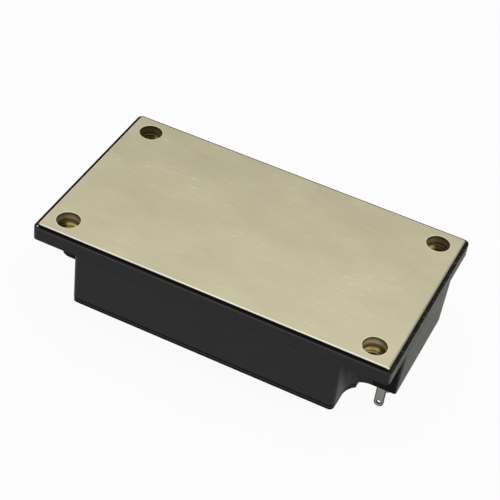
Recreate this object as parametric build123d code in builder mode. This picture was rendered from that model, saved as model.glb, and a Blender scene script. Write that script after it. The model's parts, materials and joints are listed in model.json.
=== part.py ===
from build123d import *
import os
from math import radians, tan

os.makedirs("parts", exist_ok=True)

# A transistor module with two switches, standing on its screw terminals with the baseplate up.
# The origin is the centre of the baseplate's mounting face and +Z leaves that face, so all the
# rest of the module lies below it. Sizes are in millimetres.

# Baseplate, let into the case inside a narrow rim
plate_thickness = 3.0
plate_corner_radius = 0.7
plate_edge_chamfer = 0.4
plate_proud = 0.7
plate_clearance = 0.12
rim_width = 0.95

# Mounting holes, set in from the case's ends and sides, and the bushes that line them
hole_inset_x = 7.5
hole_inset_y = 7.0
plate_hole_diameter = 6.7
plate_hole_chamfer = 0.15
bush_bore = 6.5
bush_diameter = 9.4
bush_bore_chamfer = 0.35
bush_proud = 0.7

# Case. Its left end block keeps a gap from the middles of the holes, while its right one rounds
# into the screw notches, a small step behind their walls.
case_length = 108.0
case_width = 62.0
case_corner_radius = 1.6
flange_thickness = 4.3
rim_edge_chamfer = 0.3
wall_height = 15.9
wall_thickness = 2.0
draft_angle = 0.3
notch_radius = 5.85
notch_edge_radius = 1.6
end_block_left_gap = 6.55
end_notch_step = 0.2
end_block_draft = 1.5
end_block_left_radius = 4.3
end_block_right_radius = 1.2
end_block_rise = 0.3
end_block_wall = 1.5
end_block_floor = 2.0
end_block_chamfer = 0.4
end_pocket_radius = 2.0

# Lid, with its ends set in from the mounting holes
lid_end_inset = 3.65
lid_thickness = 1.55
lid_setback = 0.06
lid_seam_chamfer = 0.22
lid_edge_chamfer = 0.15
lip_height = 1.5
lip_width = 1.3
lip_clearance = 0.15

# Screw terminals: straps folded over captive nuts in raised blocks on the lid
terminal_height = 30.0
terminal_count = 3
terminal_pitch = 25.0
block_width = 18.0
block_depth = 23.0
block_corner_chamfer = 1.0
block_edge_chamfer = 0.4
block_rib_height = 0.5
strap_width = 14.0
strap_thickness = 1.2
strap_reach = 8.0
strap_leg_y = 8.5
strap_bend_radius = 1.3
strap_corner_radius = 1.5
strap_clearance = 0.2
strap_hole = 6.6
screw_depth = 12.0
screw_clearance_bore = 6.6
nut_across_flats = 10.0
nut_height = 5.0
nut_thread_bore = 5.1
nut_thread_chamfer = 0.4
nut_clearance = 0.1
boss_wall = 2.0
boss_end_wall = 1.2

# Signal tabs
tab_inset = 5.05
tab_side_inset = 2.95
tab_pitch = 6.0
tab_width = 2.8
tab_thickness = 0.5
tab_tip_radius = 1.3
tab_hole = 1.2
tab_hole_height = 1.6
tab_root_height = 12.0

# Substrates: a ceramic sheet with copper on both faces
substrate_gap = 2.2
substrate_edge_gap = 1.2
substrate_width = 48.0
ceramic_thickness = 0.65
copper_thickness = 0.3
copper_margin = 0.8
track_gap = 0.7
emitter_track = 5.0
signal_track = 1.1

# Chips: each switch fills the length that its diode leaves on the track
switch_width = 12.6
diode_size = 10.0
chip_thickness = 0.4
chip_gap = 1.0
chip_margin = 0.9
chip_row_pitch = 15.5
chip_rows = 2
chip_row_start = -15.5

# Bonds and internal copper
ribbon_width = 3.0
ribbon_thickness = 0.25
ribbons_per_row = 2
ribbon_pitch = 4.6
ribbon_foot = 1.4
ribbon_rise = 2.2
ribbon_crown = 3.0
signal_ribbon_width = 0.8
signal_ribbon_foot = 0.8
signal_ribbon_rise = 1.3
signal_ribbon_crown = 0.6
signal_ribbon_shift = 2.0
foot_length = 5.8
foot_width = 9.0
middle_foot_width = 4.4
strap_neck_height = 14.0
link_width = 5.0
link_thickness = 1.0
link_foot = 3.6
link_rise = 2.6
link_bend_radius = 1.0
link_y = 18.2
lead_width = 0.8
lead_thickness = 0.5
lead_height = 13.0
lead_bend_radius = 1.0

# Gel
gel_depth = 11.2
gel_clearance = 0.3
gel_cover_height = 8.2

# How near to a place an edge or a corner must lie to be picked there
pick_tolerance = 0.01

# Heights that follow from the sizes above
rim_z = -plate_proud
plate_back_z = -plate_thickness
flange_z = rim_z - flange_thickness
seat_z = flange_z - wall_height
end_block_z = seat_z - end_block_rise
end_pocket_z = end_block_z + end_block_floor
lid_z = seat_z - lid_thickness
terminal_z = -terminal_height
block_z = terminal_z + strap_thickness
nut_seat_z = block_z + nut_height + nut_clearance
screw_end_z = terminal_z + screw_depth
strap_neck_z = -strap_neck_height
tab_root_z = -tab_root_height
lead_z = -lead_height
gel_z = -gel_depth
gel_cover_z = -gel_cover_height
ceramic_z = plate_back_z - copper_thickness
track_z = ceramic_z - ceramic_thickness
copper_z = track_z - copper_thickness
chip_z = copper_z - chip_thickness

# Sizes and places that follow from the sizes above
plate_length = case_length - 2 * (rim_width + plate_clearance)
plate_width = case_width - 2 * (rim_width + plate_clearance)
hole_pitch_x = case_length - 2 * hole_inset_x
hole_pitch_y = case_width - 2 * hole_inset_y
hole_x = hole_pitch_x / 2
hole_y = hole_pitch_y / 2
hole_centres = [(-hole_x, -hole_y), (hole_x, -hole_y), (-hole_x, hole_y), (hole_x, hole_y)]
hole_names = ["front_left", "front_right", "back_left", "back_right"]
notch_wall_x = hole_x - notch_radius
draft_inset = wall_height * tan(radians(draft_angle))
lid_length = hole_pitch_x - 2 * lid_end_inset
end_block_left_width = hole_pitch_y - 2 * end_block_left_gap
end_notch_radius = notch_radius + end_notch_step
end_block_right_width = hole_pitch_y - 2 * end_notch_radius
end_block_height = wall_height + end_block_rise
end_block_inset = end_block_height * tan(radians(end_block_draft))
end_pocket_length = case_length - 2 * (end_block_inset + end_block_wall)
end_pocket_width = end_block_left_width - 2 * (end_block_inset + end_block_wall)
opening_length = lid_length - 2 * wall_thickness
opening_width = case_width - 2 * wall_thickness
terminal_xs = [(i - (terminal_count - 1) / 2) * terminal_pitch for i in range(terminal_count)]
terminal_centres = [(x, 0) for x in terminal_xs]
terminal_names = ["left", "middle", "right"]
strap_channel = strap_width + 2 * strap_clearance
slot_near_y = strap_leg_y - strap_thickness / 2 - strap_clearance
slot_chamfer = strap_bend_radius - strap_thickness / 2 - strap_clearance / 2
tab_x = case_length / 2 - tab_inset
tab_names = ["1", "2", "3", "4"]
tab_pair_y = (end_block_right_width - tab_pitch) / 2 - tab_side_inset
pair_ys = [-tab_pair_y, tab_pair_y]
tab_ys = [y + half * tab_pitch / 2 for y in pair_ys for half in (-1, 1)]
cavity_length = 2 * (notch_wall_x - wall_thickness)
substrate_end_x = cavity_length / 2 - substrate_edge_gap
substrate_length = substrate_end_x - substrate_gap / 2
substrate_x = (substrate_gap + substrate_length) / 2
chip_ys = [chip_row_start + row * chip_row_pitch for row in range(chip_rows)]

# Places along a substrate, measured from its inner edge towards the nearer end of the module
emitter_start = copper_margin
emitter_centre = emitter_start + emitter_track / 2
chip_track_start = emitter_start + emitter_track + track_gap
sense_centre = substrate_length - copper_margin - signal_track / 2
gate_centre = sense_centre - signal_track - track_gap
chip_track_end = gate_centre - signal_track / 2 - track_gap
chip_track_width = chip_track_end - chip_track_start
switch_length = chip_track_width - 2 * chip_margin - chip_gap - diode_size
diode_centre = chip_track_start + chip_margin + diode_size / 2
switch_centre = chip_track_end - chip_margin - switch_length / 2
chip_kinds = [
    ("switch", switch_centre, switch_length, switch_width),
    ("diode", diode_centre, diode_size, diode_size),
]
track_spans = [
    (emitter_centre, emitter_track),
    (chip_track_start + chip_track_width / 2, chip_track_width),
    (gate_centre, signal_track),
    (sense_centre, signal_track),
]

# Where the straps' feet and the signal leads come down on the tracks
gate_x = substrate_gap / 2 + gate_centre
sense_x = substrate_gap / 2 + sense_centre
lead_xs = [-gate_x, -sense_x, sense_x, gate_x]
foot_xs = [terminal_xs[0], -(substrate_gap / 2 + emitter_centre), terminal_xs[-1]]
foot_widths = [foot_width, middle_foot_width, foot_width]

# Width, foot, rise and crown of the two kinds of bonded ribbon
emitter_loop = (ribbon_width, ribbon_foot, ribbon_rise, ribbon_crown)
signal_loop = (signal_ribbon_width, signal_ribbon_foot, signal_ribbon_rise, signal_ribbon_crown)


# The corners of a sketch at the four mirror images of one place
def corners(shape, x, y):
    near_x = shape.vertices().filter_by(lambda corner: abs(abs(corner.X) - x) < pick_tolerance)
    return near_x.filter_by(lambda corner: abs(abs(corner.Y) - y) < pick_tolerance)


# The circular edges of a piece that have one radius
def rims(shape, radius):
    circles = shape.edges().filter_by(GeomType.CIRCLE)
    return circles.filter_by(lambda rim: abs(rim.radius - radius) < pick_tolerance)


# The outline of the middle of the case, where the lid closes it, with a notch for each mounting screw
def middle_outline(inset=0.0):
    with BuildSketch() as outline:
        Rectangle(lid_length, case_width)
        with GridLocations(hole_pitch_x, hole_pitch_y, 2, 2):
            Circle(notch_radius, mode=Mode.SUBTRACT)
        with GridLocations(hole_pitch_x, hole_pitch_y + hole_inset_y, 2, 2):
            Rectangle(2 * notch_radius, hole_inset_y, mode=Mode.SUBTRACT)
        fillet(corners(outline, notch_wall_x, case_width / 2), notch_edge_radius)
        if inset > 0:
            offset(amount=-inset)
    return outline.sketch


# A flat strip along a path of straight runs, bent to a radius where one is given
def strip(points, across, width, thickness, radius=0.0):
    with BuildPart() as piece:
        with BuildLine() as path:
            if radius > 0:
                FilletPolyline(*points, radius=radius)
            else:
                Polyline(*points)
        with BuildSketch(Plane(path.line @ 0, x_dir=across, z_dir=path.line % 0)):
            Rectangle(width, thickness)
        sweep(transition=Transition.RIGHT)
    return piece.part


# A ribbon bonded to a row of pads: a flat foot on each pad and a raised loop between two feet
def ribbon(side, y, stations, width, foot, rise, crown):
    points = []
    for index, (centre, face_z) in enumerate(stations):
        foot_z = face_z - ribbon_thickness / 2
        if index > 0:
            middle = (stations[index - 1][0] + centre) / 2
            crown_z = chip_z - ribbon_thickness / 2 - rise
            points += [(middle - crown / 2, crown_z), (middle + crown / 2, crown_z)]
        points += [(centre - foot / 2, foot_z), (centre + foot / 2, foot_z)]
    route = [(side * (substrate_gap / 2 + along), y, z) for along, z in points]
    return strip(route, (0, 1, 0), width, ribbon_thickness)


# Baseplate
with BuildPart() as baseplate:
    with BuildSketch(Plane.XY.offset(plate_back_z)):
        RectangleRounded(plate_length, plate_width, plate_corner_radius)
    extrude(amount=plate_thickness)
    chamfer(baseplate.edges().group_by(Axis.Z)[-1], plate_edge_chamfer)
    with Locations((0, 0, 0)):
        with GridLocations(hole_pitch_x, hole_pitch_y, 2, 2):
            Hole(plate_hole_diameter / 2)
    chamfer(rims(baseplate, plate_hole_diameter / 2).group_by(Axis.Z)[-1], plate_hole_chamfer)
baseplate.part.label = "baseplate"
export_step(baseplate.part, "parts/baseplate.step")

# Case: flange, end blocks, drafted walls and the hollow for the electronics
with BuildPart() as case:
    with BuildSketch(Plane.XY.offset(flange_z)):
        RectangleRounded(case_length, case_width, case_corner_radius)
    extrude(amount=flange_thickness)
    chamfer(case.edges().group_by(Axis.Z)[-1], rim_edge_chamfer)
    with BuildSketch(Plane.XY.offset(flange_z)) as blocks:
        Rectangle(hole_x, hole_pitch_y, align=(Align.MIN, Align.CENTER))
        with Locations((hole_x, -hole_y), (hole_x, hole_y)):
            Circle(end_notch_radius, mode=Mode.SUBTRACT)
        Rectangle(case_length / 2, end_block_right_width, align=(Align.MIN, Align.CENTER))
        Rectangle(case_length / 2, end_block_left_width, align=(Align.MAX, Align.CENTER))
        fillet(blocks.vertices().group_by(Axis.X)[0], end_block_left_radius)
        fillet(blocks.vertices().group_by(Axis.X)[-1], end_block_right_radius)
    extrude(amount=-end_block_height, taper=end_block_draft)
    chamfer(case.edges().group_by(Axis.Z)[0], end_block_chamfer)
    with BuildSketch(Plane.XY.offset(flange_z)):
        add(middle_outline())
    extrude(amount=-wall_height, taper=draft_angle)
    with BuildSketch(Plane.XY.offset(end_block_z)):
        Rectangle(lid_length, case_width)
    extrude(amount=end_block_rise, mode=Mode.SUBTRACT)
    with BuildSketch(Plane.XY.offset(plate_back_z)):
        recess_length = plate_length + 2 * plate_clearance
        recess_width = plate_width + 2 * plate_clearance
        RectangleRounded(recess_length, recess_width, plate_corner_radius)
    extrude(amount=plate_thickness, mode=Mode.SUBTRACT)
    with BuildSketch(Plane.XY.offset(end_pocket_z)):
        add(middle_outline(wall_thickness))
        RectangleRounded(end_pocket_length, end_pocket_width, end_pocket_radius)
    extrude(amount=plate_back_z - end_pocket_z, mode=Mode.SUBTRACT)
    with BuildSketch(Plane.XY.offset(seat_z)):
        add(middle_outline(wall_thickness))
    extrude(amount=end_pocket_z - seat_z, mode=Mode.SUBTRACT)
    with Locations((0, 0, plate_back_z)):
        with GridLocations(hole_pitch_x, hole_pitch_y, 2, 2):
            Hole(bush_diameter / 2, depth=plate_back_z - flange_z)
    with BuildSketch(Plane.XY.offset(end_block_z)):
        with Locations(*[(tab_x, y) for y in tab_ys]):
            Rectangle(tab_width, tab_thickness)
    extrude(amount=end_block_floor, mode=Mode.SUBTRACT)
case.part.label = "case"
export_step(case.part, "parts/case.step")

# Mounting bushes
for name, (x, y) in zip(hole_names, hole_centres):
    with BuildPart() as bush:
        with BuildSketch(Plane.XY.offset(flange_z - bush_proud)):
            with Locations((x, y)):
                Circle(bush_diameter / 2)
                Circle(bush_bore / 2, mode=Mode.SUBTRACT)
        extrude(amount=plate_back_z - flange_z + bush_proud)
        chamfer(rims(bush, bush_bore / 2).group_by(Axis.Z)[-1], bush_bore_chamfer)
    bush.part.label = f"bush_{name}"
    export_step(bush.part, f"parts/bush_{name}.step")

# Lid: a plate with locating ribs, raised terminal blocks and a blind boss behind each nut
with BuildPart() as lid:
    with BuildSketch(Plane.XY.offset(lid_z)):
        add(middle_outline(draft_inset + lid_setback))
    extrude(amount=lid_thickness)
    chamfer(lid.edges().group_by(Axis.Z)[-1], lid_seam_chamfer)
    chamfer(lid.edges().group_by(Axis.Z)[0], lid_edge_chamfer)
    with BuildSketch(Plane.XY.offset(seat_z)):
        with GridLocations(0, opening_width - 2 * lip_clearance - lip_width, 1, 2):
            Rectangle(cavity_length - 2 * lip_clearance, lip_width)
        with GridLocations(opening_length - 2 * lip_clearance - lip_width, 0, 2, 1):
            Rectangle(lip_width, end_pocket_width)
    extrude(amount=lip_height)
    with BuildSketch(Plane.XY.offset(block_z - block_rib_height)) as blocks:
        with Locations(*terminal_centres):
            Rectangle(block_width, block_depth)
        chamfer(blocks.vertices(), block_corner_chamfer)
    extrude(amount=lid_z - block_z + block_rib_height)
    chamfer(lid.edges().group_by(Axis.Z)[0], block_edge_chamfer)
    with BuildSketch(Plane.XY.offset(seat_z)):
        with Locations(*terminal_centres):
            Rectangle(screw_clearance_bore + 2 * boss_wall, screw_clearance_bore + 2 * boss_wall)
    extrude(amount=screw_end_z - seat_z + boss_end_wall)
    with BuildSketch(Plane.XY.offset(block_z)):
        with Locations(*terminal_centres):
            Rectangle(strap_channel, block_depth)
    extrude(amount=-block_rib_height, mode=Mode.SUBTRACT)
    with BuildSketch(Plane.XY.offset(block_z)):
        with Locations(*[(x, strap_leg_y) for x in terminal_xs]):
            Rectangle(strap_channel, strap_thickness + 2 * strap_clearance)
    extrude(amount=seat_z - block_z, mode=Mode.SUBTRACT)
    slot_edges = lid.edges().filter_by(Axis.X)
    for axis, place in [(Axis.Z, block_z), (Axis.Y, slot_near_y)]:
        slot_edges = slot_edges.filter_by_position(axis, place - pick_tolerance, place + pick_tolerance)
    chamfer(slot_edges, slot_chamfer)
    with BuildSketch(Plane.XY.offset(block_z)):
        with Locations(*terminal_centres):
            RegularPolygon(nut_across_flats / 2 + nut_clearance, 6, major_radius=False)
    extrude(amount=nut_seat_z - block_z, mode=Mode.SUBTRACT)
    with BuildSketch(Plane.XY.offset(nut_seat_z)):
        with Locations(*terminal_centres):
            Circle(screw_clearance_bore / 2)
    extrude(amount=screw_end_z - nut_seat_z, mode=Mode.SUBTRACT)
lid.part.label = "lid"
export_step(lid.part, "parts/lid.step")

# Captive nuts under the straps
with BuildPart() as nuts:
    with BuildSketch(Plane.XY.offset(block_z)):
        with Locations(*terminal_centres):
            RegularPolygon(nut_across_flats / 2, 6, major_radius=False)
            Circle(nut_thread_bore / 2, mode=Mode.SUBTRACT)
    extrude(amount=nut_height)
    chamfer(rims(nuts, nut_thread_bore / 2).group_by(Axis.Z)[0], nut_thread_chamfer)
nuts.part.label = "terminal_nuts"
export_step(nuts.part, "parts/terminal_nuts.step")

# Terminal straps: folded over the nut and down through the lid, then out to a foot on the copper
for name, x, foot_x, width in zip(terminal_names, terminal_xs, foot_xs, foot_widths):
    top_z = terminal_z + strap_thickness / 2
    foot_z = copper_z - strap_thickness / 2
    fold = [(x, -strap_reach, top_z), (x, strap_leg_y, top_z), (x, strap_leg_y, strap_neck_z)]
    foot = [(foot_x, strap_leg_y, strap_neck_z), (foot_x, strap_leg_y, foot_z)]
    foot += [(foot_x, strap_leg_y + foot_length, foot_z)]
    with BuildPart() as strap:
        add(strip(fold, (1, 0, 0), strap_width, strap_thickness, strap_bend_radius))
        fillet(strap.edges().filter_by(Axis.Z).group_by(Axis.Y)[0], strap_corner_radius)
        add(strip(foot, (1, 0, 0), width, strap_thickness, strap_bend_radius))
        with BuildSketch(Plane.XY.offset(terminal_z)):
            with Locations((x, 0)):
                Circle(strap_hole / 2)
        extrude(amount=strap_thickness, mode=Mode.SUBTRACT)
    strap.part.label = f"terminal_{name}"
    export_step(strap.part, f"parts/terminal_{name}.step")

# Signal tabs: flat blades moulded into the floor of the right end block
for name, y in zip(tab_names, tab_ys):
    with BuildPart() as tab:
        with BuildSketch(Plane.XZ.offset(-y)) as blade:
            with Locations((tab_x, terminal_z)):
                Rectangle(tab_width, tab_root_z - terminal_z, align=(Align.CENTER, Align.MIN))
            fillet(blade.vertices().group_by(Axis.Y)[0], tab_tip_radius)
            with Locations((tab_x, terminal_z + tab_hole_height)):
                Circle(tab_hole / 2, mode=Mode.SUBTRACT)
        extrude(amount=tab_thickness / 2, both=True)
    tab.part.label = f"signal_tab_{name}"
    export_step(tab.part, f"parts/signal_tab_{name}.step")

# Substrates, one to a switch, with the chips, bonds and copper of that switch
for name, side in [("left", -1), ("right", 1)]:
    inner_x = substrate_gap / 2

    with BuildPart() as ceramic:
        with BuildSketch(Plane.XY.offset(track_z)):
            with Locations((side * substrate_x, 0)):
                Rectangle(substrate_length, substrate_width)
        extrude(amount=ceramic_thickness)
    ceramic.part.label = f"ceramic_{name}"
    export_step(ceramic.part, f"parts/ceramic_{name}.step")

    with BuildPart() as backing:
        with BuildSketch(Plane.XY.offset(ceramic_z)):
            with Locations((side * substrate_x, 0)):
                Rectangle(substrate_length - 2 * copper_margin, substrate_width - 2 * copper_margin)
        extrude(amount=copper_thickness)
    backing.part.label = f"copper_backing_{name}"
    export_step(backing.part, f"parts/copper_backing_{name}.step")

    with BuildPart() as tracks:
        with BuildSketch(Plane.XY.offset(copper_z)):
            for centre, width in track_spans:
                with Locations((side * (inner_x + centre), 0)):
                    Rectangle(width, substrate_width - 2 * copper_margin)
        extrude(amount=copper_thickness)
    tracks.part.label = f"copper_tracks_{name}"
    export_step(tracks.part, f"parts/copper_tracks_{name}.step")

    for row, y in enumerate(chip_ys, start=1):
        for kind, centre, length, width in chip_kinds:
            with BuildPart() as chip:
                with BuildSketch(Plane.XY.offset(chip_z)):
                    with Locations((side * (inner_x + centre), y)):
                        Rectangle(length, width)
                extrude(amount=chip_thickness)
            chip.part.label = f"{kind}_chip_{name}_{row}"
            export_step(chip.part, f"parts/{kind}_chip_{name}_{row}.step")

        stations = [(emitter_centre, copper_z), (diode_centre, chip_z), (switch_centre, chip_z)]
        with BuildPart() as bonds:
            for i in range(ribbons_per_row):
                ribbon_y = y + (i - (ribbons_per_row - 1) / 2) * ribbon_pitch
                add(ribbon(side, ribbon_y, stations, *emitter_loop))
        bonds.part.label = f"emitter_ribbons_{name}_{row}"
        export_step(bonds.part, f"parts/emitter_ribbons_{name}_{row}.step")

    with BuildPart() as signals:
        for y in chip_ys:
            edge = switch_centre + switch_length / 2 - signal_ribbon_foot
            for track, shift in [(gate_centre, -signal_ribbon_shift), (sense_centre, signal_ribbon_shift)]:
                add(ribbon(side, y + shift, [(edge, chip_z), (track, copper_z)], *signal_loop))
    signals.part.label = f"signal_ribbons_{name}"
    export_step(signals.part, f"parts/signal_ribbons_{name}.step")

# Link: a bridge that carries the right switch's emitter to the left switch's collector
right_leg_x = substrate_gap / 2 + emitter_start + link_thickness / 2
left_leg_x = -(substrate_gap / 2 + chip_track_start + link_thickness / 2)
link_low = copper_z - link_thickness / 2
link_high = link_low - link_rise
link_path = [(right_leg_x + link_foot, link_y, link_low), (right_leg_x, link_y, link_low)]
link_path += [(right_leg_x, link_y, link_high), (left_leg_x, link_y, link_high)]
link_path += [(left_leg_x, link_y, link_low), (left_leg_x - link_foot, link_y, link_low)]
with BuildPart() as link:
    add(strip(link_path, (0, 1, 0), link_width, link_thickness, link_bend_radius))
link.part.label = "phase_link"
export_step(link.part, "parts/phase_link.step")

# Signal leads: strips from the tabs across to the gate and sense tracks of each switch
for name, y, x in zip(tab_names, tab_ys, lead_xs):
    lead_path = [(tab_x - tab_width / 2, y, lead_z), (x, y, lead_z), (x, y, copper_z)]
    with BuildPart() as lead:
        add(strip(lead_path, (0, 1, 0), lead_width, lead_thickness, lead_bend_radius))
    lead.part.label = f"signal_lead_{name}"
    export_step(lead.part, f"parts/signal_lead_{name}.step")

# Gel: the soft filling over the chips, kept clear of everything that it surrounds
with BuildPart() as gel:
    with BuildSketch(Plane.XY.offset(gel_z)):
        Rectangle(cavity_length - 2 * gel_clearance, opening_width - 2 * gel_clearance)
    extrude(amount=plate_back_z - gel_clearance - gel_z)
    with BuildSketch(Plane.XY.offset(gel_cover_z)):
        Rectangle(2 * (substrate_end_x + gel_clearance), substrate_width + 2 * gel_clearance)
    extrude(amount=plate_back_z - gel_cover_z, mode=Mode.SUBTRACT)
    with BuildSketch(Plane.XY.offset(gel_z)):
        with Locations(*[(x, strap_leg_y) for x in terminal_xs]):
            Rectangle(strap_width + 2 * gel_clearance, strap_thickness + 2 * gel_clearance)
        with Locations(*[(x, y) for x, y in zip(lead_xs, tab_ys)]):
            Rectangle(lead_thickness + 2 * gel_clearance, lead_width + 2 * gel_clearance)
    extrude(amount=gel_cover_z - gel_z, mode=Mode.SUBTRACT)
gel.part.label = "silicone_gel"
export_step(gel.part, "parts/silicone_gel.step")
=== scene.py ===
import json
import bpy
import numpy as np
from mathutils import Matrix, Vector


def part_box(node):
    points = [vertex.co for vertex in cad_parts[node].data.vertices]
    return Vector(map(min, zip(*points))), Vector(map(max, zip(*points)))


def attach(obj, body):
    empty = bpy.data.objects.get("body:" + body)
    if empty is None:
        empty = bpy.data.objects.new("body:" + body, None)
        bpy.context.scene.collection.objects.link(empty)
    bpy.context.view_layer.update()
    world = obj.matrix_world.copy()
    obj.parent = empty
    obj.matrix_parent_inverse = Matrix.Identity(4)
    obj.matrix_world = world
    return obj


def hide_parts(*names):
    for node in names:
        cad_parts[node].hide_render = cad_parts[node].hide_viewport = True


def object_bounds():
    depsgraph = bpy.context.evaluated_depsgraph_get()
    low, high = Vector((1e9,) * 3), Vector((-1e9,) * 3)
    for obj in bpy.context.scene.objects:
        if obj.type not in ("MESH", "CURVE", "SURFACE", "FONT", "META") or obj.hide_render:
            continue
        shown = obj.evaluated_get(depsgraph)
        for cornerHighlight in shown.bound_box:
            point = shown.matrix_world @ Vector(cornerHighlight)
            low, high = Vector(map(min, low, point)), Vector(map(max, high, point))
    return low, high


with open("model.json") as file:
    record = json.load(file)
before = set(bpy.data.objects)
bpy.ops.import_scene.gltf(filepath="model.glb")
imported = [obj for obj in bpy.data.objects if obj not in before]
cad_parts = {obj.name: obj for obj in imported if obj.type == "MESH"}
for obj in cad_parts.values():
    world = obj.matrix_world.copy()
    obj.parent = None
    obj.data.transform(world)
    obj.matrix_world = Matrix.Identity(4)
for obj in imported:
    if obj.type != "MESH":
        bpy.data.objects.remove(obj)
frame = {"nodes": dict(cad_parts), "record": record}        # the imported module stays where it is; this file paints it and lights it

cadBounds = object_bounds()
nodes = frame["nodes"]
scene = bpy.context.scene
scene.view_settings.view_transform = "Standard"
print("frame loaded,", len(nodes), "nodes")


# shader sums are written as Python sums

class Wire:
    # one node output; arithmetic on it adds Math nodes to the same tree
    def __init__(self, paint, socket):
        self.paint = paint
        self.socket = socket

    def sum(self, operation, *terms):
        return self.paint.node("ShaderNodeMath", {"operation": operation}, list(terms))

    def __add__(self, other): return self.sum("ADD", self, other)
    def __radd__(self, other): return self.sum("ADD", other, self)
    def __sub__(self, other): return self.sum("SUBTRACT", self, other)
    def __rsub__(self, other): return self.sum("SUBTRACT", other, self)
    def __mul__(self, other): return self.sum("MULTIPLY", self, other)
    def __rmul__(self, other): return self.sum("MULTIPLY", other, self)
    def __truediv__(self, other): return self.sum("DIVIDE", self, other)
    def __rtruediv__(self, other): return self.sum("DIVIDE", other, self)
    def __pow__(self, other): return self.sum("POWER", self, other)
    def __rpow__(self, other): return self.sum("POWER", other, self)
    def __abs__(self): return self.sum("ABSOLUTE", self)

    def clip(self): return self.sum("MINIMUM", self.sum("MAXIMUM", self, 0.0), 1.0)
    def above(self, other): return self.sum("MAXIMUM", self, other)


class Paint:
    # a node tree and the short ways to fill it
    def __init__(self, tree):
        self.tree = tree
        tree.nodes.clear()

    def feed(self, socket, value):
        if isinstance(value, Wire):
            self.tree.links.new(value.socket, socket)
        else:
            socket.default_value = value

    def node(self, kind, settings=None, inputs=None, output=0):
        made = self.tree.nodes.new(kind)
        for key, value in (settings or {}).items():
            if key == "stops":
                while len(made.color_ramp.elements) < len(value):
                    made.color_ramp.elements.new(1.0)
                for stop, (place, color) in zip(made.color_ramp.elements, value):
                    stop.position = place
                    stop.color = color
            else:
                setattr(made, key, value)
        pairs = inputs.items() if isinstance(inputs, dict) else enumerate(inputs or [])
        for key, value in pairs:
            self.feed(made.inputs[key], value)
        return Wire(self, made.outputs[output]) if len(made.outputs) else None

    def place(self):
        return self.node("ShaderNodeTexCoord", output="Object")

    def axes(self):
        # x, y and z on the piece, in millimetres
        split = self.node("ShaderNodeSeparateXYZ", {}, [self.place()])
        return [Wire(self, split.socket.node.outputs[index]) * 1000.0 for index in range(3)]

    def ramp(self, value, low, high, stops):
        # stops are (value, grey) pairs between low and high
        pairs = [((place - low) / (high - low), rgb(grey, grey, grey)) for place, grey in stops]
        return self.node("ShaderNodeValToRGB", {"stops": pairs}, [(value - low) / (high - low)])

    def step(self, value, edge, soft):
        # 0 below the edge and 1 above it, over a soft width
        return ((value - edge) / soft + 0.5).clip()

    def band(self, value, middle, half, soft):
        # 1 within half a width of the middle and 0 outside
        return self.step(half - abs(value - middle), 0.0, soft)

    def stretched(self, scale, turn=(0.0, 0.0, 0.0)):
        return self.node("ShaderNodeMapping", {}, {"Vector": self.place(), "Scale": scale, "Rotation": turn})

    def noise(self, vector, scale=1.0, detail=2.0, roughness=0.5):
        return self.node("ShaderNodeTexNoise", {}, {
            "Vector": vector, "Scale": scale, "Detail": detail, "Roughness": roughness})

    def blend(self, share, low, high):
        # mixes two colours; share is 0 for the first and 1 for the second
        return self.node("ShaderNodeMix", {"data_type": "RGBA"}, {0: share, 6: low, 7: high}, output=2)

    def bump(self, height, depth, strength=1.0, softened=0.0):
        # height runs from 0 to 1 and depth is its size in metres; softened rounds the edges in the shading
        inputs = {"Height": height, "Distance": depth, "Strength": strength}
        if softened > 0:
            inputs["Normal"] = self.node("ShaderNodeBevel", {"samples": 6}, {"Radius": softened})
        return self.node("ShaderNodeBump", {}, inputs)

    def surface(self, paintedShadeAndMottle=None, **sockets):
        # the one surface shader; names are written as in baseColor and turned into the socket's own.
        # the shade mask is 1 where a gap or a corner is given painted shade, and in dull mottled patches;
        # there the surface is a dull black
        names = {"baseColor": "Base Color", "roughness": "Roughness", "metallic": "Metallic",
                 "normal": "Normal", "specular": "Specular IOR Level", "alpha": "Alpha"}
        shader = self.node("ShaderNodeBsdfPrincipled", {}, {
            names[key]: value for key, value in sockets.items()})
        if paintedShadeAndMottle is not None:
            dull = self.node("ShaderNodeBsdfPrincipled", {}, {
                "Base Color": paintedShadeLook["color"], "Roughness": paintedShadeLook["roughness"],
                "Specular IOR Level": paintedShadeLook["specular"]})
            shader = self.node("ShaderNodeMixShader", {}, [paintedShadeAndMottle, shader, dull])
        self.node("ShaderNodeOutputMaterial", {}, {"Surface": shader})


def newPaint(name):
    material = bpy.data.materials.new(name)
    material.use_nodes = True
    return material, Paint(material.node_tree)


def rgb(red, green, blue):
    return (red, green, blue, 1.0)


paintedShadeLook = {"color": rgb(0.003, 0.003, 0.0025), "roughness": 0.9, "specular": 0.05}    # painted shade in gaps and corners; the same dull black makes the plastic's mottled patches


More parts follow.
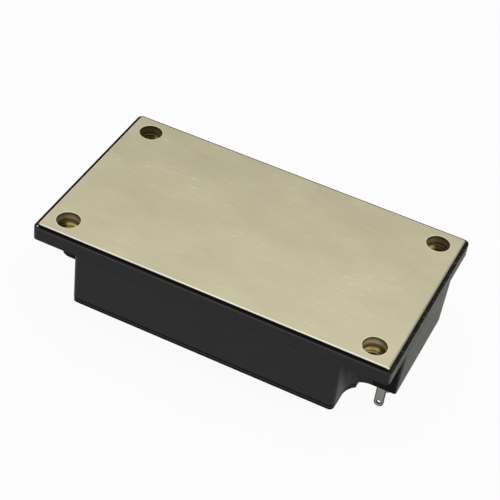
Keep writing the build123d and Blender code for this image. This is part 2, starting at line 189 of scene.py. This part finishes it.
nickelLook = {
    "bright": rgb(0.690, 0.636, 0.438),
    "dull": rgb(0.530, 0.486, 0.328),
    "bevelHighlight": rgb(0.80, 0.78, 0.64),
    # painted shade on the plate's sides, lighter on the right where the light falls
    "side": rgb(0.050, 0.042, 0.026),
    "rightSideLit": rgb(0.240, 0.225, 0.140),
    "shadedWall": rgb(0.165, 0.135, 0.050),    # painted shade on the drilled walls at the back left
    "litWall": rgb(0.620, 0.545, 0.275),      # painted light on them at the front right
    # painted shade at the foot of the drilled walls
    "wallShade": rgb(0.075, 0.050, 0.011),
    "wallMetallic": 0.50,      # the drilled walls are stained and duller than the face
    "wallRoughness": 0.20,     # added to the roughness there
    "roughness": 0.33,
    "streakLength": 0.016,     # metres along the brushing
    "streakWidth": 0.00042,
    "cloud": 0.014,            # metres across a soft cloud
    "scratchScale": (240, 2300, 2300), "scratchTurn": (0, 0, 0.05), "scratchShare": 0.55,
    "grooveDepth": 0.000012,
    # the rest is in millimetres: half sizes of the plate, where its holes are, how far from its edge the
    # bevel's painted highlight and the sides' painted shade begin, and the radii where a hole's painted
    # highlight ring and its wall begin
    "sideX": 52.93, "sideY": 29.93,
    "holeX": 46.5, "holeY": 24.0,
    "bevelStart": -0.48, "sideStart": -0.18,
    "ringRadius": 3.62, "wallRadius": 3.44,
    # how lit a wall is painted: at the plate's middle, and what a millimetre along x and y adds
    "wallLitMiddle": 0.46, "wallLitAlong": 0.0034, "wallLitAcross": -0.0136,
    # (depth, how light): painted light down the wall: a bright edge, painted shade under it, lighter half way
    # down, painted shade at the bottom
    "wallDepths": [(0.0, 0.8), (0.14, 0.10), (0.55, 0.12), (0.85, 0.42), (1.2, 0.72), (1.9, 1.0),
                   (2.2, 0.60), (2.55, 0.12), (3.0, 0.05)],
    "wallDepth": 3.2,
}


def brushedNickel():
    look = nickelLook
    material, paint = newPaint("brushedNickel")
    along, across, patch = 1 / look["streakLength"], 1 / look["streakWidth"], 1 / look["cloud"]
    coarse = paint.noise(paint.stretched((along, across, across)), detail=3.0, roughness=0.6)
    fine = paint.noise(paint.stretched((along * 2.6, across * 2.8, across * 2.8)), detail=2.0)
    clouds = paint.noise(paint.stretched((patch * 0.6, patch, patch)), detail=3.0)
    scratches = paint.noise(paint.stretched(look["scratchScale"], look["scratchTurn"]), detail=0.0)
    nicks = ((scratches - 0.66) * 9.0).clip() * ((clouds - 0.40) * 4.0).clip()
    tone = ((coarse - 0.5) * 0.75 + (fine - 0.5) * 0.55 + (clouds - 0.5) + 0.45).above(0.15).clip()
    color = paint.blend(tone, look["dull"], look["bright"])
    # bright nicks, drawn in the colour of the bevel's painted highlight
    color = paint.blend(nicks * look["scratchShare"], color, look["bevelHighlight"])
    x, y, z = paint.axes()
    # a painted highlight on the bevel round the plate, less at the right, and painted shade on its sides
    # under the bevel, lighter on the right
    outward = (abs(x) - look["sideX"]).above(abs(y) - look["sideY"])
    onRight = paint.step(x, look["sideX"] - 0.5, 0.1)
    bevelHighlight = paint.step(outward, look["bevelStart"], 0.10) * (1.0 - onRight * 0.8)
    color = paint.blend(bevelHighlight, color, look["bevelHighlight"])
    sideShading = paint.blend(onRight, look["side"], look["rightSideLit"])
    color = paint.blend(paint.step(outward - onRight * 0.15, look["sideStart"], 0.06), color, sideShading)
    # the holes: a painted highlight ring, then the wall, whose painted shade grows from the front right to
    # the back left and down its depth
    toHole = ((abs(x) - look["holeX"]) ** 2.0 + (abs(y) - look["holeY"]) ** 2.0) ** 0.5
    depth = paint.ramp(0.0 - z, 0.0, look["wallDepth"], look["wallDepths"])
    color = paint.blend(paint.step(look["ringRadius"] - toHole, 0.0, 0.10), color, look["bevelHighlight"])
    wall = paint.step(look["wallRadius"] - toHole, 0.0, 0.06)
    wallLit = (x * look["wallLitAlong"] + y * look["wallLitAcross"] + look["wallLitMiddle"]).clip()
    color = paint.blend(wall, color, paint.blend(wallLit, look["shadedWall"], look["litWall"]))
    color = paint.blend(wall * (1.0 - depth), color, look["wallShade"])
    rough = (coarse - 0.5) * 0.22 + (clouds - 0.5) * 0.12
    paint.surface(
        baseColor=color,
        metallic=1.0 - wall * (1.0 - look["wallMetallic"]),
        roughness=rough + wall * look["wallRoughness"] + look["roughness"],
        normal=paint.bump(coarse * 0.6 + fine * 0.4, look["grooveDepth"], 0.8),
    )
    return material


plasticLook = {
    "dark": rgb(0.0070, 0.0073, 0.0073),
    "light": rgb(0.0115, 0.0119, 0.0117),
    "rimHighlight": rgb(0.048, 0.046, 0.047),       # painted highlight on the rim's rounded edge
    # painted highlight along the rim's outer edge at the left
    "leftEdgeHighlight": rgb(0.240, 0.240, 0.225),
    "grooveOlive": rgb(0.075, 0.068, 0.038),          # olive tone in the groove at the right end, seen in spots through its painted shade
    # painted highlight on the flange's right end face just below the rim
    "flangeEndHighlight": rgb(0.070, 0.069, 0.065),
    "mottledSheen": rgb(0.092, 0.095, 0.062),       # painted sheen on the right end wall, with random mottle
    # painted glint at the rim's front left corner
    "chip": rgb(0.70, 0.69, 0.66),
    "roughness": 0.50,
    "specular": 0.20,
    # sizes in metres: of the grain and the patches, of the relief, and of the rounding in the shading
    "grain": 0.00022, "mottle": 0.0012, "blotch": 0.0030,
    "reliefDepth": 0.00012, "edgeRadius": 0.00022,
    "flowScale": (60, 60, 90),
    # painted shade in dark lines round the case, along the flange's lower edge, in the seam and at the lid's
    # foot: (middle's height, half width, softness) in millimetres, and how dark
    "lines": {
        "flange": (-4.81, 0.16, 0.06, 0.2),
        "seam": (-20.81, 0.27, 0.08, 0.8),
        "foot": (-22.08, 0.34, 0.06, 1.0),
    },
    # heights in millimetres
    "rimTop": -0.7, "flangeLow": -5.0, "blockTop": -6.2, "blockFoot": -20.65,
    # places along x and y in millimetres
    "rightGroove": 52.95, "leftRim": 53.62, "rightRim": 53.7, "endWall": 52.6,
    # where the painted highlight at the flange's front right corner begins
    "cornerX": 53.68, "cornerY": -27.0,
    # the end blocks' sides, in painted shade under the flange
    "blockInner": 46.7, "blockOuter": 53.3,
    # the painted glint's place and size
    "glintX": -52.7, "glintY": -30.1, "glintRadius": 0.34,
    "paleFrom": -24.0, "paleLength": 58.0,     # painted sheen: the right end wall pales from here towards the back
    "gapWidth": 0.82,          # how far the gap's painted shade reaches outward from the plate
}


def mouldedPlastic(name, shade=1.0):
    look = plasticLook
    material, paint = newPaint(name)
    grain = paint.noise(paint.place(), scale=1 / look["grain"], detail=2.0, roughness=0.6)
    flow = paint.noise(paint.stretched(look["flowScale"]), detail=3.0)
    mottle = paint.noise(paint.place(), scale=1 / look["mottle"], detail=2.0, roughness=0.6)
    blotches = paint.noise(paint.place(), scale=1 / look["blotch"], detail=3.0, roughness=0.65)
    x, y, z = paint.axes()

    # masks by place: the rim's edge with its painted highlight, the groove at the right end, and a painted
    # highlight on the face below it
    edge = paint.step(z, look["rimTop"] - 0.40, 0.06)
    leftEdgeHighlight = paint.step(0.0 - x, look["leftRim"], 0.1) * edge
    groove = paint.step(x, look["rightGroove"], 0.1) * edge
    grooveOlive = ((mottle - 0.56) * 9.0).clip() * groove
    flangeEndHighlight = paint.step(x, look["rightRim"], 0.1) * paint.step(z, look["rimTop"] - 1.0, 0.1) * (1.0 - edge)
    # a painted glint at the rim's front left corner
    toGlint = ((x - look["glintX"]) ** 2.0 + (y - look["glintY"]) ** 2.0) ** 0.5
    chip = paint.step(look["glintRadius"] - toGlint, 0.0, 0.15)
    # the right end wall is mottled and a little olive, with painted sheen: paler towards the back, and a
    # painted highlight at the flange's front corner
    endWall = paint.step(x, look["endWall"], 0.3) * (1.0 - edge)
    cornerHighlight = paint.step(x, look["cornerX"], 0.24) * paint.step(look["cornerY"] - y, 0.0, 3.0)
    cornerHighlight = cornerHighlight * paint.step(z, look["flangeLow"] - 0.3, 0.3)
    pale = (y - look["paleFrom"]) / look["paleLength"]
    mottledSheen = (pale + (blotches - 0.5) * 1.8).clip().above(cornerHighlight * 0.5)

    dark, light = (rgb(*(value * shade for value in look[tone][:3])) for tone in ("dark", "light"))
    color = paint.blend(grain * 0.4 + flow * 0.6, dark, light)
    for share, tone in ((edge, "rimHighlight"), (leftEdgeHighlight, "leftEdgeHighlight"), (groove, "grooveOlive"), (flangeEndHighlight, "flangeEndHighlight"),
                        (chip, "chip"), (endWall * mottledSheen * (1.0 - flangeEndHighlight), "mottledSheen")):
        color = paint.blend(share, color, look[tone])

    # painted shade: the gap round the plate and in the groove, the dark lines, the blind sides of the end
    # blocks beside the screw notches under the flange, and the foot of the right end wall; the same dull
    # black draws the random mottling
    fromPlate = (abs(x) - nickelLook["sideX"]).above(abs(y) - nickelLook["sideY"])
    gap = paint.step(z, look["rimTop"] - 0.05, 0.03) * paint.step(look["gapWidth"] - fromPlate, 0.0, 0.08)
    paintedShadeAndMottle = gap.above(groove) * (0.9 - groove * 0.08 - grooveOlive * 0.55) * (1.0 - chip)
    for height, half, soft, strength in look["lines"].values():
        paintedShadeAndMottle = paintedShadeAndMottle.above(paint.band(z, height, half, soft) * strength)
    blockSideShade = paint.step(abs(x), look["blockInner"], 0.2) * paint.step(look["blockOuter"] - abs(x), 0.0, 0.2)
    patches = ((blotches * 0.6 + mottle * 0.4 - 0.46) * 5.0).clip() * (endWall * (1.0 - cornerHighlight) * 0.42 + 0.08)
    paintedShadeAndMottle = paintedShadeAndMottle.above(blockSideShade * paint.step(look["blockTop"] - z, 0.0, 0.2) * 0.75)
    paintedShadeAndMottle = paintedShadeAndMottle.above(patches).above(endWall * paint.step(look["blockFoot"] - z, 0.0, 0.2) * 0.6)
    paint.surface(
        paintedShadeAndMottle=paintedShadeAndMottle,
        baseColor=color,
        roughness=(grain - 0.5) * 0.25 + (flow - 0.5) * 0.12 + look["roughness"],
        specular=look["specular"],
        normal=paint.bump(grain * 0.35 + mottle * 0.65, look["reliefDepth"], 0.9, look["edgeRadius"]),
    )
    return material


brassLook = {
    "bright": rgb(0.600, 0.455, 0.135),
    "stained": rgb(0.300, 0.190, 0.026),
    "shadowed": rgb(0.070, 0.044, 0.007),
    "metallic": 0.75,
    "roughness": 0.32,
    "turningPitch": 0.00018, "turningDepth": 0.00002,
    "ringWander": 90,          # how fast the rings change round the bush
    "stainScale": 420,
    # (depth in millimetres, how light): painted light down the bore, with painted shade where the bush meets
    # the plate and near its far end
    "depths": [(2.95, 0.03), (3.5, 0.06), (3.85, 0.9), (4.6, 1.0), (4.9, 0.05), (5.15, 0.1),
               (5.35, 0.9), (5.7, 0.5)],
    "top": 2.9, "bottom": 5.8,
}


def turnedBrass():
    look = brassLook
    material, paint = newPaint("turnedBrass")
    wander = look["ringWander"]
    rings = paint.noise(paint.stretched((wander, wander, 1 / look["turningPitch"])), detail=1.0)
    stain = paint.noise(paint.place(), scale=look["stainScale"], detail=3.0)
    tone = ((rings * 0.5 + stain * 0.9 - 0.68) * 2.2 + 0.5).clip()
    depth = paint.ramp(0.0 - paint.axes()[2], look["top"], look["bottom"], look["depths"])
    paint.surface(
        baseColor=paint.blend(depth, look["shadowed"], paint.blend(tone, look["stained"], look["bright"])),
        metallic=look["metallic"],
        roughness=stain * 0.2 + look["roughness"] - 0.1,
        normal=paint.bump(rings, look["turningDepth"], 0.8),
    )
    return material


tabLook = {
    # in millimetres: the blades' middle, where their tips' rounding starts, half their width, the small
    # holes, and how wide the bands of painted shade along the blades' edge and round the holes are
    "middle": 48.95, "tipCentre": -28.7, "halfWidth": 1.4, "holeCentre": -28.4, "holeRadius": 0.6,
    "edgeBand": 0.28, "holeBand": 0.20, "soft": 0.12,
    "darkness": 0.75,
}


def tabEdgeShade(paint):
    # 1 along the blanked edge of a tab and in and round its hole, where painted shade is drawn
    look = tabLook
    x, _, z = paint.axes()
    sideways = x - look["middle"]
    below = (look["tipCentre"] - z).above(0.0)
    reach = (sideways ** 2.0 + below ** 2.0) ** 0.5
    toHole = (sideways ** 2.0 + (z - look["holeCentre"]) ** 2.0) ** 0.5
    edgeShade = paint.step(reach, look["halfWidth"] - look["edgeBand"], look["soft"])
    ring = paint.step(look["holeRadius"] + look["holeBand"] - toHole, 0.0, look["soft"])
    return edgeShade.above(ring) * look["darkness"]


# thin plate over stamped or drawn pieces, and bare drawn metal, by material slot; grain is the grain's size
# along x, y and z and depth its relief, all in metres
platedLooks = {
    "terminal_nickel": {
        "name": "terminalNickel", "dull": rgb(0.46, 0.45, 0.41), "bright": rgb(0.66, 0.65, 0.61),
        "roughness": 0.30, "grain": (0.0004, 0.012, 0.0004), "depth": 0.00001},
    "nut_steel": {
        "name": "nutZinc", "dull": rgb(0.38, 0.39, 0.40), "bright": rgb(0.60, 0.60, 0.58),
        "roughness": 0.36, "grain": (0.003, 0.003, 0.0006), "depth": 0.00002},
    "tab_nickel": {
        "name": "tabTin", "dull": rgb(0.15, 0.152, 0.135), "bright": rgb(0.29, 0.295, 0.27),
        "roughness": 0.34, "grain": (0.0005, 0.0005, 0.009), "depth": 0.00001, "edgeShade": tabEdgeShade},
    "copper": {
        "name": "copperSheet", "dull": rgb(0.50, 0.20, 0.11), "bright": rgb(0.74, 0.38, 0.24),
        "roughness": 0.34, "grain": (0.009, 0.0005, 0.0005), "depth": 0.00001},
    "aluminium": {
        "name": "ribbonAluminium", "dull": rgb(0.58, 0.59, 0.60), "bright": rgb(0.80, 0.80, 0.81),
        "roughness": 0.28, "grain": (0.006, 0.0003, 0.0006), "depth": 0.00001},
    "lead_tin": {
        "name": "leadTin", "dull": rgb(0.50, 0.50, 0.49), "bright": rgb(0.72, 0.72, 0.70),
        "roughness": 0.32, "grain": (0.009, 0.0005, 0.0005), "depth": 0.00001},
}


def platedMetal(name, dull, bright, roughness, grain, depth, edgeShade=None, cloudScale=260):
    # soft cloudy tone with fine drawn grain; the mask function, if given, says where painted shade is drawn
    material, paint = newPaint(name)
    drawn = paint.noise(paint.stretched(tuple(1 / size for size in grain)), detail=2.0)
    clouds = paint.noise(paint.place(), scale=cloudScale, detail=3.0)
    paint.surface(
        paintedShadeAndMottle=edgeShade(paint) if edgeShade else None,
        baseColor=paint.blend((drawn * 0.6 + clouds * 0.6 - 0.1).clip(), dull, bright),
        metallic=1.0,
        roughness=(clouds - 0.5) * 0.2 + (drawn - 0.5) * 0.1 + roughness,
        normal=paint.bump(drawn, depth, 0.7),
    )
    return material


ceramicLook = {
    "dark": rgb(0.74, 0.73, 0.69),
    "light": rgb(0.86, 0.85, 0.82),
    "roughness": 0.36,
    "speckScale": 2600, "speckDepth": 0.000006,
}


def firedCeramic():
    look = ceramicLook
    material, paint = newPaint("firedCeramic")
    specks = paint.noise(paint.place(), scale=look["speckScale"], detail=2.0)
    paint.surface(
        baseColor=paint.blend(specks, look["dark"], look["light"]),
        roughness=specks * 0.12 + look["roughness"],
        normal=paint.bump(specks, look["speckDepth"], 0.6),
    )
    return material


chipLook = {
    "cell": rgb(0.55, 0.56, 0.58),
    "otherCell": rgb(0.50, 0.51, 0.54),
    "cellGap": rgb(0.18, 0.19, 0.22),
    "cellsPerMetre": 900.0,
    "hazeScale": 500,
    "metallic": 0.8,
    "roughness": 0.22,
}


def chipFace():
    look = chipLook
    material, paint = newPaint("chipFace")
    cells = paint.node("ShaderNodeTexBrick", {"offset": 0.0}, {
        "Vector": paint.place(), "Scale": look["cellsPerMetre"],
        "Mortar Size": 0.05, "Brick Width": 1.0, "Row Height": 1.0,
        "Color1": look["cell"], "Color2": look["otherCell"], "Mortar": look["cellGap"]})
    haze = paint.noise(paint.place(), scale=look["hazeScale"], detail=2.0)
    paint.surface(baseColor=cells, metallic=look["metallic"], roughness=haze * 0.1 + look["roughness"])
    return material


gelLook = {
    "dark": rgb(0.62, 0.66, 0.70),
    "light": rgb(0.76, 0.79, 0.82),
    "roughness": 0.12,
    "alpha": 0.4,
    "rippleScale": 130, "rippleDepth": 0.0002,
}


def clearGel():
    look = gelLook
    material, paint = newPaint("clearGel")
    ripple = paint.noise(paint.place(), scale=look["rippleScale"], detail=2.0)
    paint.surface(
        baseColor=paint.blend(ripple, look["dark"], look["light"]),
        roughness=look["roughness"],
        alpha=ripple * 0.1 + look["alpha"],
        normal=paint.bump(ripple, look["rippleDepth"], 0.4),
    )
    return material


finishes = {
    "baseplate_nickel": brushedNickel(),
    "case_plastic": mouldedPlastic("casePlastic"),
    "lid_plastic": mouldedPlastic("lidPlastic", 0.92),
    "bush_brass": turnedBrass(),
    "ceramic": firedCeramic(),
    "chip": chipFace(),
    "gel": clearGel(),
}
for slotName, values in platedLooks.items():
    finishes[slotName] = platedMetal(**values)
for part in frame["record"]["subparts"]:
    holder = nodes[part["node"]]
    finish = finishes[part["material_slot"]]
    if not holder.data.materials:
        holder.data.materials.append(finish)
    for slotIndex in range(len(holder.material_slots)):
        holder.material_slots[slotIndex].material = finish


nutLook = {
    "centres": (-0.025, 0.0, 0.025),
    "acrossFlats": 0.010,
    "bore": 0.0051,        # across the thread's crests
    "threadDepth": 0.00045,
    "pitch": 0.001,
    "countersink": 0.0004,
    "faceShare": 0.96,     # the turned faces' radius over half the flats' width
    "cornerDrop": 0.0007,  # how far the turned faces fall away at the six corners
    "steps": 96,
    "levelsPerPitch": 10,
}


def threadedNut(centre, low, high):
    # A closed section is carried once round the axis. In the bore the radius is the crest's, plus the
    # thread's depth times a triangle wave of (height / pitch - turn), so the wave climbs one pitch a turn
    # and fades out at both faces. Outside, the radius is that of a hexagon: half the flats' width over
    # the cosine of the angle from the nearest flat's middle.
    look = nutLook
    turn = np.linspace(0, 2 * np.pi, look["steps"], endpoint=False)
    bore = look["bore"] / 2
    flat = look["acrossFlats"] / 2
    hexagon = flat / np.cos(np.mod(turn, np.pi / 3) - np.pi / 6)
    drop = look["cornerDrop"] * (hexagon / flat - 1) / (2 / np.sqrt(3) - 1)
    heights = np.linspace(low, high, int((high - low) / look["pitch"] * look["levelsPerPitch"]) + 1)
    wave = np.abs(2 * np.mod(heights[:, None] / look["pitch"] - turn[None] / (2 * np.pi), 1) - 1)
    room = np.minimum(heights - low, high - heights)[:, None]
    fade = np.clip(room / look["pitch"], 0, 1)
    mouth = look["countersink"] * np.clip(1 - (heights - low)[:, None] / look["countersink"], 0, 1)
    face = np.full(turn.size, flat * look["faceShare"])
    radius = np.vstack([bore + look["threadDepth"] * wave * fade + mouth, face, hexagon, hexagon, face])
    level = np.vstack([np.repeat(heights[:, None], turn.size, 1), np.full(turn.size, high), high - drop,
                       low + drop, np.full(turn.size, low)])
    points = np.stack([centre + radius * np.cos(turn), radius * np.sin(turn), level], -1).reshape(-1, 3)
    rows, columns = radius.shape
    row, column = np.meshgrid(np.arange(rows), np.arange(columns), indexing="ij")
    nextRow, nextColumn = (row + 1) % rows, (column + 1) % columns
    faces = np.stack([row * columns + column, nextRow * columns + column,
                      nextRow * columns + nextColumn, row * columns + nextColumn], -1).reshape(-1, 4)
    return points, faces


nutLow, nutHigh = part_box("terminal_nuts")
nutPoints, nutFaces, offset = [], [], 0
for nutCentre in nutLook["centres"]:
    points, faces = threadedNut(nutCentre, nutLow.z, nutHigh.z)
    nutPoints.append(points)
    nutFaces.append(faces + offset)
    offset += len(points)
nutMesh = bpy.data.meshes.new("threadedNuts")
nutMesh.from_pydata(np.vstack(nutPoints).tolist(), [], np.vstack(nutFaces).tolist())
nutMesh.validate()
threadedNuts = bpy.data.objects.new("threadedNuts", nutMesh)
scene.collection.objects.link(threadedNuts)
nutMesh.materials.append(finishes["nut_steel"])
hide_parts("terminal_nuts")
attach(threadedNuts, "root")
print("nuts threaded,", len(nutMesh.polygons), "faces")


stageLook = {
    "floorSize": 6.0,
    "floorGap": 0.00002,   # metres between the floor and the module's lowest point
    "floorColor": rgb(0.90, 0.90, 0.90),
    "white": rgb(1, 1, 1),
    "whiteShare": 0.94,    # how much of the floor the camera sees as plain white
    "skyLight": 0.56,      # what the sky gives as plain light
    # what metal mirrors of the sky: (sine of the height angle, grey)
    "mirroredSky": [(0.0, 0.22), (0.30, 0.24), (0.50, 0.30), (0.62, 0.51), (0.71, 0.95), (0.79, 1.0),
                    (0.90, 0.80), (1.0, 0.60)],
    "mirroredStrength": 1.30,
}

side = stageLook["floorSize"] / 2
floorMesh = bpy.data.meshes.new("floor")
floorMesh.from_pydata([(-side, -side, 0), (side, -side, 0), (side, side, 0), (-side, side, 0)],
                      [], [(0, 1, 2, 3)])
floorMesh.transform(Matrix.Translation((0, 0, cadBounds[0][2] - stageLook["floorGap"])))
floor = bpy.data.objects.new("floor", floorMesh)
scene.collection.objects.link(floor)
floorMaterial, paint = newPaint("paleFloor")
rays = [paint.node("ShaderNodeLightPath", output=ray)
        for ray in ("Is Camera Ray", "Is Glossy Ray", "Is Transmission Ray")]
plainShare = (rays[0] + rays[1] + rays[2]).clip() * stageLook["whiteShare"]
lit = paint.node("ShaderNodeBsdfDiffuse", {}, {"Color": stageLook["floorColor"]})
glow = paint.node("ShaderNodeEmission", {}, {"Color": stageLook["white"], "Strength": 1.0})
mixed = paint.node("ShaderNodeMixShader", {}, [plainShare, lit, glow])
paint.node("ShaderNodeOutputMaterial", {}, {"Surface": mixed})
floorMesh.materials.append(floorMaterial)

world = bpy.data.worlds.new("studio")
world.use_nodes = True
scene.world = world
paint = Paint(world.node_tree)
direction = paint.node("ShaderNodeTexCoord", output="Generated")
height = paint.node("ShaderNodeSeparateXYZ", {}, [direction], output=2)
sky = paint.ramp(height, 0.0, 1.0, stageLook["mirroredSky"])


def background(color, strength):
    return paint.node("ShaderNodeBackground", {}, {"Color": color, "Strength": strength})


plain = background(stageLook["white"], stageLook["skyLight"])
mirrored = background(sky, stageLook["mirroredStrength"])
shown = background(stageLook["white"], 1.0)
glossy = paint.node("ShaderNodeLightPath", output="Is Glossy Ray")
seen = paint.node("ShaderNodeLightPath", output="Is Camera Ray")
indirect = paint.node("ShaderNodeMixShader", {}, [glossy, plain, mirrored])
whole = paint.node("ShaderNodeMixShader", {}, [seen, indirect, shown])
paint.node("ShaderNodeOutputWorld", {}, {"Surface": whole})

softboxes = {
    # name: place, aimed at, width, length, watts
    "overhead": ((-0.10, -0.05, 0.90), (0, 0, -0.01), 1.10, 1.10, 1.6),
    "right": ((0.75, 0.10, 0.25), (0, 0, -0.01), 0.45, 0.45, 0.9),
    "front": ((-0.24, -0.60, 0.64), (0, 0, -0.01), 0.40, 0.30, 0.15),
}


def setInPlace(item, right, up, back, place):
    # links an object whose axes point right, up and back, with its middle at the place
    columns = (right, up, back, place)
    item.matrix_world = Matrix([[column[row] for column in columns] for row in range(3)] + [[0, 0, 0, 1]])
    scene.collection.objects.link(item)


for name, (place, aim, width, length, watts) in softboxes.items():
    lamp = bpy.data.lights.new(name, "AREA")
    lamp.shape = "RECTANGLE"
    lamp.size, lamp.size_y, lamp.energy = width, length, watts
    back = np.array(place, float) - np.array(aim, float)
    back /= np.linalg.norm(back)
    right = np.cross((0.0, 1.0, 0.02), back)
    right /= np.linalg.norm(right)
    setInPlace(bpy.data.objects.new(name, lamp), right, np.cross(back, right), back, place)

cameraLook = {
    "lens": 109.37,
    "sensor": 36.0,
    "nearest": 0.01,       # metres from which the camera sees
    "place": (0.11248, -0.30491, 0.27747),
    "right": (0.89535, 0.43239, 0.10673),
    "up": (-0.36008, 0.56175, 0.74483),
    "back": (0.26210, -0.70532, 0.65865),
}
cameraData = bpy.data.cameras.new("photoView")
cameraData.lens = cameraLook["lens"]
cameraData.sensor_width = cameraLook["sensor"]
cameraData.clip_start = cameraLook["nearest"]
camera = bpy.data.objects.new("photoView", cameraData)
setInPlace(camera, cameraLook["right"], cameraLook["up"], cameraLook["back"], cameraLook["place"])
scene.camera = camera
print("stage, softboxes and camera set")
